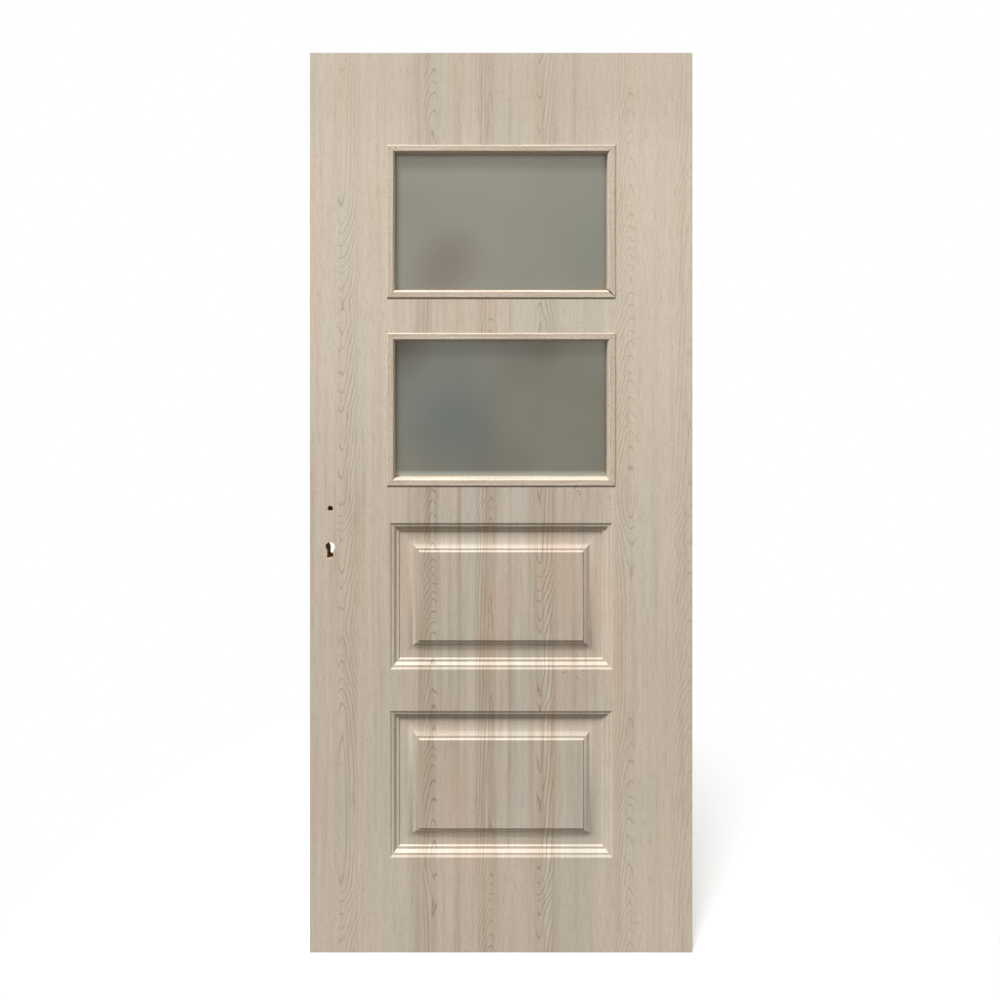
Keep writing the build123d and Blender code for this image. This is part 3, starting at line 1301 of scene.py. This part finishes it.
@dataclass
class MouldedSkin:
    """One film-faced skin: a flat board with open lights and two raised panels pressed into it.

    The steps and the shoulder are runs towards the panel's middle, each with its drop away from the face.
    """

    face: Face
    holes: LockHoles
    thickness: float = 5 * MM
    land: float = 5 * MM
    arris: float = 0.7 * MM
    arris_parts: int = 3
    cove_run: float = 23.1 * MM
    cove_parts: int = 14
    cove_rise: float = 8.2 * MM
    block_depth: float = 11.8 * MM
    block_inset: float = 1.0 * MM
    rim_chip: float = 0.8 * MM
    foot_wear: float = 1.0 * MM
    wear_parts: int = 2
    outer_step: tuple[tuple[float, float], ...] = ((4.4 * MM, 3.0 * MM), (3.8 * MM, 0.0))
    middle_step: tuple[tuple[float, float], ...] = ((5.4 * MM, 6.0 * MM), (5.0 * MM, 0.0))
    inner_step: tuple[tuple[float, float], ...] = ((2.6 * MM, 3.0 * MM), (13.3 * MM, 0.0))
    shoulder: tuple[tuple[float, float], ...] = ((4.6 * MM, -0.4 * MM), (2.8 * MM, -3.4 * MM))

    def cove(self) -> list[tuple[float, float]]:
        """Divide the cove's arc, which starts level with the floor, into short runs and rises.

        Returns:
            Run and drop of each part.
        """
        sweep = 2 * math.atan2(self.cove_rise, self.cove_run)
        radius = self.cove_run / math.sin(sweep)
        angles = [sweep * part / self.cove_parts for part in range(self.cove_parts + 1)]
        return [
            (radius * (math.sin(b) - math.sin(a)), radius * (math.cos(b) - math.cos(a)))
            for a, b in zip(angles, angles[1:])
        ]

    def press_panel(
        self, bm: bmesh.types.BMesh, edges: list[bmesh.types.BMEdge]
    ) -> list[bmesh.types.BMEdge]:
        """Press a raised panel into the rectangle inside a loop of edges.

        Args:
            bm: Mesh that holds the loop.
            edges: The loop.

        Returns:
            Edges of the arrises, which are still to be eased.
        """
        field = bmesh.ops.contextual_create(bm, geom=edges)["faces"][0]
        if field.normal.y > 0:
            field.normal_flip()
        arrises = []
        parts = (
            (((self.land, 0.0),), True),
            (self.outer_step, True),
            (self.middle_step, True),
            (self.inner_step[:1], True),
            (self.inner_step[1:], False),
            (self.cove(), False),
            (self.shoulder, True),
        )
        for section, sharp in parts:
            for run, drop in section:
                bmesh.ops.inset_region(bm, faces=[field], thickness=run, depth=-drop, use_even_offset=True)
                if sharp:
                    arrises.extend(field.edges)
            if not sharp:
                arrises.extend(field.edges)
        return arrises

    def build(
        self, film: bpy.types.Material, raw: bpy.types.Material, torn: bpy.types.Material
    ) -> bpy.types.Object:
        """Model the skin and dress it.

        Args:
            film: Material of the face.
            raw: Material of the sawn edges.
            torn: Material of the chipped rims of the holes.

        Returns:
            The skin.
        """
        node = f"{self.face.value}_skin"
        low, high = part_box("front_skin")
        front_y = low.y
        lights = [Opening.between("lock_rail", "light_rail"), Opening.between("light_rail", "top_rail")]
        panels = [Opening.between("bottom_rail", "panel_rail"), Opening.between("panel_rail", "lock_rail")]
        bm = bmesh.new()
        add_loop(bm, Opening(low.x, high.x, low.z, high.z).corners(front_y))
        for light in lights:
            add_loop(bm, light.corners(front_y))
        panel_loops = [add_loop(bm, panel.grown(self.land).corners(front_y)) for panel in panels]
        self.holes.add_outlines(bm, front_y)
        bmesh.ops.triangle_fill(bm, use_beauty=True, edges=bm.edges[:], normal=(0, -1, 0))
        arrises = [edge for loop in panel_loops for edge in self.press_panel(bm, loop)]
        ease_edges(bm, arrises, self.arris, self.arris_parts, clamp=True)
        shell = set(bm.faces)

        # Sawn edges, and a plain underside with a block behind each panel
        rim = bmesh.ops.extrude_edge_only(bm, edges=[edge for edge in bm.edges if edge.is_boundary])["geom"]
        rim_verts = [g for g in rim if isinstance(g, bmesh.types.BMVert)]
        bmesh.ops.translate(bm, vec=(0, self.thickness, 0), verts=rim_verts)
        under = [g for g in rim if isinstance(g, bmesh.types.BMEdge) and g.is_boundary]
        under_y = front_y + self.thickness
        blocks = [add_loop(bm, panel.grown(-self.block_inset).corners(under_y)) for panel in panels]
        under += [edge for loop in blocks for edge in loop]
        bmesh.ops.triangle_fill(bm, use_beauty=True, edges=under, normal=(0, 1, 0))
        for loop in blocks:
            block = bmesh.ops.contextual_create(bm, geom=loop)["faces"][0]
            if block.normal.y < 0:
                block.normal_flip()
            bmesh.ops.inset_region(
                bm,
                faces=[block],
                thickness=self.block_inset,
                depth=self.block_depth,
                use_even_offset=True,
            )
        for side in bm.faces:
            side.material_index = SkinPart.FILM if side in shell else SkinPart.SAWN
        self.wear_edges(bm, front_y, low.z)
        if self.face is Face.BACK:
            bmesh.ops.scale(bm, vec=(1, -1, 1), verts=bm.verts)
        return finish_piece(bm, f"{node}_film_faced", (film, raw, torn), (node,))

    def wear_edges(self, bm: bmesh.types.BMesh, front_y: float, foot_z: float) -> None:
        """Chip the rims of the lock holes and wear the film off the lower edge.

        Args:
            bm: The skin's mesh.
            front_y: Depth of its face.
            foot_z: Height of its lower edge.
        """
        reach = 3 * self.holes.keyhole_radius
        on_face = [edge for edge in bm.edges if all(abs(v.co.y - front_y) < CLOSE for v in edge.verts)]
        rims = [
            edge
            for edge in on_face
            if {f.material_index for f in edge.link_faces} == {SkinPart.FILM, SkinPart.SAWN}
            and min((v.co - centre).xz.length for v in edge.verts for centre in self.holes.centres()) < reach
        ]
        foot = [edge for edge in on_face if all(abs(v.co.z - foot_z) < CLOSE for v in edge.verts)]
        ease_edges(bm, rims, self.rim_chip, self.wear_parts, material=SkinPart.TORN)
        ease_edges(bm, foot, self.foot_wear, self.wear_parts, material=SkinPart.SAWN)


@dataclass
class GlazingBead:
    """Mitred bead that holds a pane: a rebated strip with a rounded outer edge and a bevelled inner one."""

    face: Face
    level: Level
    side: BeadSide
    lip: float = 7.3 * MM
    face_width: float = 13.5 * MM
    bevel_drop: float = 4.5 * MM
    inner_ease: float = 0.8 * MM
    face_ease_parts: int = 3
    foot_ease_parts: int = 2
    round_run: float = 3.0 * MM
    round_drop: float = 1.8 * MM
    round_parts: int = 6
    dish_depth: float = 0.12 * MM
    dish_parts: int = 6
    fine_mitre: float = 0.4 * MM
    open_mitre: float = 2.0 * MM

    def dished_face(self) -> list[tuple[float, float]]:
        """List the points of the shallow hollow in the bead's face, from its inner side outwards.

        Returns:
            Distance from the outer edge and depth below the face of each point.
        """
        parts = [part / self.dish_parts for part in range(1, self.dish_parts)]
        width = self.face_width - self.round_run
        return [(self.round_run + width * t, 4 * self.dish_depth * t * (1 - t)) for t in reversed(parts)]

    def rounded_edge(self) -> list[tuple[float, float]]:
        """List the points of the rounded outer edge, from the face outwards.

        Returns:
            Distance from the outer edge and depth below the face of each point.
        """
        angles = [math.radians(90 * part / self.round_parts) for part in range(self.round_parts, -1, -1)]
        return [(self.round_run * (1 - math.cos(a)), self.round_drop * (1 - math.sin(a))) for a in angles]

    def mitre_gaps(self) -> tuple[float, float]:
        """Say how far the bead stands short at each end; the joints on the front's hinge side have opened.

        Returns:
            Gaps at the start and at the end, as the bead runs clockwise round its light.
        """
        if (self.face, self.side) != (Face.FRONT, BeadSide.HINGE):
            return (0.0, 0.0)
        return (self.fine_mitre, self.open_mitre if self.level is Level.UPPER else self.fine_mitre)

    def section(self, size: Vector, proud: float) -> list[tuple[float, float]]:
        """List the points of the bead's cross-section, round from the tip of its lip.

        Args:
            size: The bead's size in the leaf.
            proud: How far it stands out from the skin.

        Returns:
            Distance from the outer edge and depth below the face of each point.
        """
        width = min(size.x, size.z)
        return [
            (0.0, proud),
            (self.lip, proud),
            (self.lip, size.y),
            (width, size.y),
            (width, self.bevel_drop),
            (self.face_width, 0.0),
            *self.dished_face(),
            *self.rounded_edge(),
        ]

    def ease_bevel(self, bm: bmesh.types.BMesh, width: float) -> None:
        """Ease the two long edges of the bevel, while the bead lies level round its own middle.

        Args:
            bm: The bead's mesh.
            width: The bead's width.
        """
        long_edges = (
            (self.face_width, 0.0, self.face_ease_parts),
            (width, self.bevel_drop, self.foot_ease_parts),
        )
        for inward, deep, parts in long_edges:
            arris = [
                edge
                for edge in bm.edges
                if all(
                    abs(v.co.y - deep) < CLOSE and abs(width / 2 - v.co.z - inward) < CLOSE
                    for v in edge.verts
                )
                and abs(edge.verts[0].co.x - edge.verts[1].co.x) > width
            ]
            ease_edges(bm, arris, self.inner_ease, parts)

    def stand(self, low: Vector, high: Vector) -> Matrix:
        """Work out where the bead goes from lying level round its own middle.

        Args:
            low: Lowest corner of its place in the leaf.
            high: Highest corner of its place.

        Returns:
            The move into its place.
        """
        middle = (low + high) / 2
        turns = {BeadSide.TOP: 0, BeadSide.HINGE: 90, BeadSide.BOTTOM: 180, BeadSide.LOCK: 270}
        turn = Matrix.Rotation(math.radians(turns[self.side]), 4, "Y")
        if self.face is Face.FRONT:
            return Matrix.Translation((middle.x, low.y, middle.z)) @ turn
        mirrored = Matrix.Scale(-1, 4, (0, 1, 0))
        return Matrix.Translation((middle.x, high.y, middle.z)) @ mirrored @ turn

    def build(self, film: bpy.types.Material) -> bpy.types.Object:
        """Model the bead where its CAD node is, and dress it.

        Args:
            film: Material of the bead.

        Returns:
            The bead.
        """
        node = f"{self.face.value}_{self.level.value}_{self.side.value}_bead"
        low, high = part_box(node)
        size = high - low
        width = min(size.x, size.z)
        run = max(size.x, size.z)
        proud = max(-low.y, high.y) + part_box("front_skin")[0].y
        bm = bmesh.new()
        section = self.section(size, proud)
        outline = [Vector((-run / 2, deep, width / 2 - inward)) for inward, deep in section]
        end_face = bmesh.ops.contextual_create(bm, geom=add_loop(bm, outline))["faces"][0]
        other = bmesh.ops.extrude_face_region(bm, geom=[end_face])["geom"]
        far_verts = [g for g in other if isinstance(g, bmesh.types.BMVert)]
        bmesh.ops.translate(bm, vec=(run, 0, 0), verts=far_verts)
        start_gap, end_gap = self.mitre_gaps()
        for vert in bm.verts:
            inward = width / 2 - vert.co.z
            vert.co.x += -inward - end_gap if vert.co.x > 0 else inward + start_gap
        bmesh.ops.recalc_face_normals(bm, faces=bm.faces)
        self.ease_bevel(bm, width)
        bmesh.ops.transform(bm, matrix=self.stand(low, high), verts=bm.verts)
        return finish_piece(bm, f"{node}_mitred", (film,), (node,))


@dataclass
class EdgeStrip:
    """Thin film-covered strip on one long edge, with eased arrises."""

    node: str
    ease: float = 0.7 * MM
    ease_parts: int = 3
    pocket_width: float = 18 * MM
    pocket_low: float = 860 * MM
    pocket_high: float = 1035 * MM

    def outline(self, x: float, depths: tuple[float, float], heights: tuple[float, float]) -> list[Vector]:
        """List the corners of an upright rectangle across the leaf's thickness.

        Args:
            x: Its place along the leaf's width.
            depths: Its two sides.
            heights: Its foot and top.

        Returns:
            The corners in order.
        """
        (near, far), (foot, top) = depths, heights
        return [Vector((x, y, z)) for y, z in ((near, foot), (far, foot), (far, top), (near, top))]

    def build(self, film: bpy.types.Material) -> bpy.types.Object:
        """Model the strip where its CAD node is, and dress it.

        Args:
            film: Material of the strip.

        Returns:
            The strip.
        """
        low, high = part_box(self.node)
        outer_x, inner_x = (low.x, high.x) if self.node.startswith("lock") else (high.x, low.x)
        bm = bmesh.new()
        add_loop(bm, self.outline(inner_x, (low.y, high.y), (low.z, high.z)))
        if self.node.startswith("lock"):
            half = self.pocket_width / 2
            add_loop(bm, self.outline(inner_x, (-half, half), (self.pocket_low, self.pocket_high)))
        bmesh.ops.triangle_fill(bm, use_beauty=True, edges=bm.edges[:], normal=(1, 0, 0))
        raised = bmesh.ops.extrude_face_region(bm, geom=bm.faces[:])["geom"]
        raised_verts = [g for g in raised if isinstance(g, bmesh.types.BMVert)]
        bmesh.ops.translate(bm, vec=(outer_x - inner_x, 0, 0), verts=raised_verts)
        arrises = [
            edge
            for edge in bm.edges
            if all(
                abs(v.co.x - outer_x) < CLOSE and min(abs(v.co.y - low.y), abs(v.co.y - high.y)) < CLOSE
                for v in edge.verts
            )
            and abs(edge.verts[0].co.z - edge.verts[1].co.z) > (high.z - low.z) / 2
        ]
        ease_edges(bm, arrises, self.ease, self.ease_parts)
        return finish_piece(bm, f"{self.node}_eased", (film,), (self.node,))


@dataclass
class Studio:
    """Camera, lamp, floor and white surroundings.

    Attributes:
        photo_px: Width and height of the photograph.
        mm_per_px: Its scale on the leaf's face.
        leaf_bottom_px: Row of the leaf's lower edge.
        leaf_middle_px: Column of the leaf's middle.
        axis_x_px: Column that the camera faces straight on.
        axis_y_px: Row that the camera faces straight on.
        distance: From the camera to the leaf's face.
        sensor_mm: Width of the camera's sensor.
        clip_end: How far the camera sees.
        lamp_tint: The lamp's colour.
        lamp_offset: Its place from the leaf's middle.
        lamp_size: Length of its sides.
        lamp_watts: Its power.
        fill_tint: Colour of the light from all round.
        fill_sideways: That light's factor from the left and from the right.
        fill_upward: Its strength from the horizon and from straight above.
        white: Colour of what is seen behind the leaf.
        floor_bounce: Colour with which the floor lights the leaf.
        floor_half: Half the length of the floor's sides.
        floor_drop: How far the floor lies below the leaf.
        shadow_reach: Distances between which the floor goes over to plain white.
        shadow_white: Share of plain white nearer than that.
    """

    photo_px: float = 1000.0
    mm_per_px: float = 2.2227
    leaf_bottom_px: float = 952.6
    leaf_middle_px: float = 501.2
    axis_x_px: float = 480.0
    axis_y_px: float = 310.0
    distance: float = 1.65
    sensor_mm: float = 36.0
    clip_end: float = 100.0
    lamp_tint: str = "#F8FBFF"
    lamp_offset: tuple[float, float, float] = (-4.9, -8.4, 17.25)
    lamp_size: float = 4.8
    lamp_watts: float = 5700.0
    fill_tint: str = "#FFF0DE"
    fill_sideways: tuple[float, float] = (1.4, 0.6)
    fill_upward: tuple[float, float] = (0.13, 0.62)
    white: str = "#FFFFFF"
    floor_bounce: str = "#595853"
    floor_half: float = 30.0
    floor_drop: float = 0.5 * MM
    shadow_reach: tuple[float, float] = (0.3, 1.2)
    shadow_white: float = 0.6

    def place_camera(self, low: Vector, high: Vector) -> None:
        """Stand the camera in front of the leaf, level, at the photograph's framing.

        Args:
            low: Lowest corner of the leaf.
            high: Highest corner of the leaf.
        """
        metres_per_px = self.mm_per_px * MM
        data = bpy.data.cameras.new("camera")
        data.sensor_width = self.sensor_mm
        data.lens = self.sensor_mm * self.distance / (self.photo_px * metres_per_px)
        data.shift_x = (self.photo_px / 2 - self.axis_x_px) / self.photo_px
        data.shift_y = (self.axis_y_px - self.photo_px / 2) / self.photo_px
        data.clip_end = self.clip_end
        camera = bpy.data.objects.new("camera", data)
        face_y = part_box("front_skin")[0].y
        camera.location = (
            (low.x + high.x) / 2 + (self.axis_x_px - self.leaf_middle_px) * metres_per_px,
            face_y - self.distance,
            low.z + (self.leaf_bottom_px - self.axis_y_px) * metres_per_px,
        )
        camera.rotation_euler = (math.radians(90), 0, 0)
        bpy.context.scene.collection.objects.link(camera)
        bpy.context.scene.camera = camera

    def hang_lamp(self, target: Vector) -> None:
        """Hang a square soft lamp above the leaf's front, a little to the left.

        Args:
            target: Where it points.
        """
        data = bpy.data.lights.new("overhead_softbox", "AREA")
        data.shape = "SQUARE"
        data.size = self.lamp_size
        data.energy = self.lamp_watts
        data.color = linear(self.lamp_tint)[:3]
        lamp = bpy.data.objects.new("overhead_softbox", data)
        offset = Vector(self.lamp_offset)
        lamp.location = target + offset
        lamp.rotation_euler = (-offset).to_track_quat("-Z", "Y").to_euler()
        bpy.context.scene.collection.objects.link(lamp)

    def light(self, low: Vector, high: Vector) -> None:
        """Light the leaf from above and a little from the left, with a white surround.

        Args:
            low: Lowest corner of the leaf.
            high: Highest corner of the leaf.
        """
        self.hang_lamp((low + high) / 2)
        world = bpy.data.worlds.new("white_surround")
        world.use_nodes = True
        world.node_tree.nodes.clear()
        add = partial(add_node, world.node_tree)
        direction = add("ShaderNodeTexCoord").outputs["Generated"]
        toward = add("ShaderNodeSeparateXYZ", {0: direction}).outputs
        left, right = self.fill_sideways
        level, above = self.fill_upward
        sideways = add("ShaderNodeMapRange", {0: toward["X"], 1: -1.0, 2: 1.0, 3: left, 4: right}).outputs[0]
        upward = add("ShaderNodeMapRange", {0: toward["Z"], 1: 0.0, 2: 1.0, 3: level, 4: above}).outputs[0]
        fill = add("ShaderNodeMath", {0: sideways, 1: upward}, operation="MULTIPLY").outputs[0]
        seen = self.seen(add)
        strength = add("ShaderNodeMix", {0: seen, 2: fill, 3: 1.0}, data_type="FLOAT").outputs[0]
        tint = add(
            "ShaderNodeMix", {0: seen, 6: linear(self.fill_tint), 7: linear(self.white)}, data_type="RGBA"
        ).outputs[2]
        background = add("ShaderNodeBackground", {"Color": tint, "Strength": strength})
        add("ShaderNodeOutputWorld", {"Surface": background.outputs[0]})
        bpy.context.scene.world = world

    def seen(self, add: Callable) -> bpy.types.NodeSocket:
        """Tell the rays that show the surroundings from those that only light the leaf.

        Args:
            add: Short call that adds a node.

        Returns:
            Output that is 1 for camera, mirror and see-through rays.
        """
        path = add("ShaderNodeLightPath").outputs
        direct = add(
            "ShaderNodeMath", {0: path["Is Camera Ray"], 1: path["Is Glossy Ray"]}, operation="MAXIMUM"
        ).outputs[0]
        return add(
            "ShaderNodeMath", {0: direct, 1: path["Is Transmission Ray"]}, operation="MAXIMUM"
        ).outputs[0]

    def lay_floor(self, low: Vector, high: Vector) -> None:
        """Lay a white floor under the leaf, with its shadow close by and plain white farther out.

        Args:
            low: Lowest corner of the leaf.
            high: Highest corner of the leaf.
        """
        middle = ((low.x + high.x) / 2, (low.y + high.y) / 2, low.z)
        bm = bmesh.new()
        bmesh.ops.create_grid(bm, x_segments=1, y_segments=1, size=self.floor_half)
        bmesh.ops.translate(bm, vec=(low.x, 0, low.z - self.floor_drop), verts=bm.verts)
        mesh = bpy.data.meshes.new("floor")
        bm.to_mesh(mesh)
        bm.free()
        material, add, output = empty_material("white_matt_floor")
        coords = add("ShaderNodeTexCoord").outputs["Object"]
        away = add("ShaderNodeVectorMath", {0: coords, 1: middle}, operation="DISTANCE").outputs["Value"]
        near_edge, far_edge = self.shadow_reach
        far = add(
            "ShaderNodeMapRange",
            {0: away, 1: near_edge, 2: far_edge, 3: self.shadow_white, 4: 1.0},
            interpolation_type="SMOOTHSTEP",
        ).outputs[0]
        seen = self.seen(add)
        plain = add("ShaderNodeMath", {0: far, 1: seen}, operation="MULTIPLY").outputs[0]
        tint = add(
            "ShaderNodeMix",
            {0: seen, 6: linear(self.floor_bounce), 7: linear(self.white)},
            data_type="RGBA",
        ).outputs[2]
        matt = add("ShaderNodeBsdfDiffuse", {"Color": tint}).outputs[0]
        white = add("ShaderNodeEmission", {"Color": linear(self.white), "Strength": 1.0}).outputs[0]
        shader = add("ShaderNodeMixShader", {0: plain, 1: matt, 2: white})
        material.node_tree.links.new(shader.outputs[0], output.inputs["Surface"])
        mesh.materials.append(material)
        floor = bpy.data.objects.new("floor", mesh)
        bpy.context.scene.collection.objects.link(floor)
        floor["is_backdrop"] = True


@dataclass
class DoorLeaf:
    """The whole leaf: skins, beads, edge strips, panes and core."""

    core_nodes: tuple[str, ...] = (
        "lock_stile",
        "hinge_stile",
        "top_rail",
        "light_rail",
        "lock_rail",
        "panel_rail",
        "bottom_rail",
    )

    def build(self) -> None:
        """Model and dress every piece."""
        film = GrainFilm().make()
        raw = RawComposite().make()
        torn = TornFilm().make()
        bead_films = {grain: TrimFilm(f"bead_film_{grain.value}_grain", grain).make() for grain in Grain}
        strip_film = TrimFilm("edge_strip_film", Grain.UPRIGHT, dark="#B39D86", light="#CBBBA6").make()
        # Both lights hold the same glass: the lower pane's darker colours and every patch are painted light
        # and shade from the surroundings
        panes = {
            Level.UPPER: FrostedGlass(
                "sandblasted_glass_upper",
                cloud="#959287",
                body="#8F8C80",
                painted_surroundings=(
                    SurroundingsPatch("#827369", -565.0, 1500.0, 95.0, 0.5),
                    SurroundingsPatch("#7E7168", -530.0, 1552.0, 95.0, 0.45),
                    SurroundingsPatch("#858A80", -195.0, 1590.0, 170.0, 0.4),
                ),
            ).make(),
            Level.LOWER: FrostedGlass(
                "sandblasted_glass_lower",
                cloud="#858377",
                body="#78766C",
                painted_surroundings=(
                    SurroundingsPatch("#7B807A", -570.0, 1240.0, 200.0, 0.7),
                    SurroundingsPatch("#6C726F", -520.0, 1155.0, 135.0, 0.55),
                    SurroundingsPatch("#868172", -290.0, 1190.0, 190.0, 0.6),
                    SurroundingsPatch("#6E6257", -325.0, 1345.0, 60.0, 0.4),
                    SurroundingsPatch("#5E564E", -655.0, 1350.0, 110.0, 0.6),
                ),
                glow=FootGlow("#C8CDBE", 1056.0, 1069.0, 0.65),
            ).make(),
        }
        holes = LockHoles()
        for face in Face:
            MouldedSkin(face, holes).build(film, raw, torn)
            for level in Level:
                for side in BeadSide:
                    GlazingBead(face, level, side).build(bead_films[side.grain])
        for node in ("lock_edge_band", "hinge_edge_band"):
            EdgeStrip(node).build(strip_film)
        for level, glass in panes.items():
            self.dress(f"{level.value}_glass", glass)
        for node in self.core_nodes:
            self.dress(node, raw)

    def dress(self, node: str, material: bpy.types.Material) -> None:
        """Give a CAD node its finish.

        Args:
            node: The node's name.
            material: Its finish.
        """
        mesh = frame["nodes"][node].data
        mesh.materials.clear()
        mesh.materials.append(material)
        LOG.info("%s: %s", node, material.name)


def main() -> None:
    """Build the leaf in its studio."""
    logging.basicConfig(level=logging.INFO, format="%(message)s")
    low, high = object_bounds()
    DoorLeaf().build()
    studio = Studio()
    studio.lay_floor(low, high)
    studio.light(low, high)
    studio.place_camera(low, high)
    bpy.context.scene.view_settings.view_transform = "Standard"


if __name__ == "__main__":
    main()
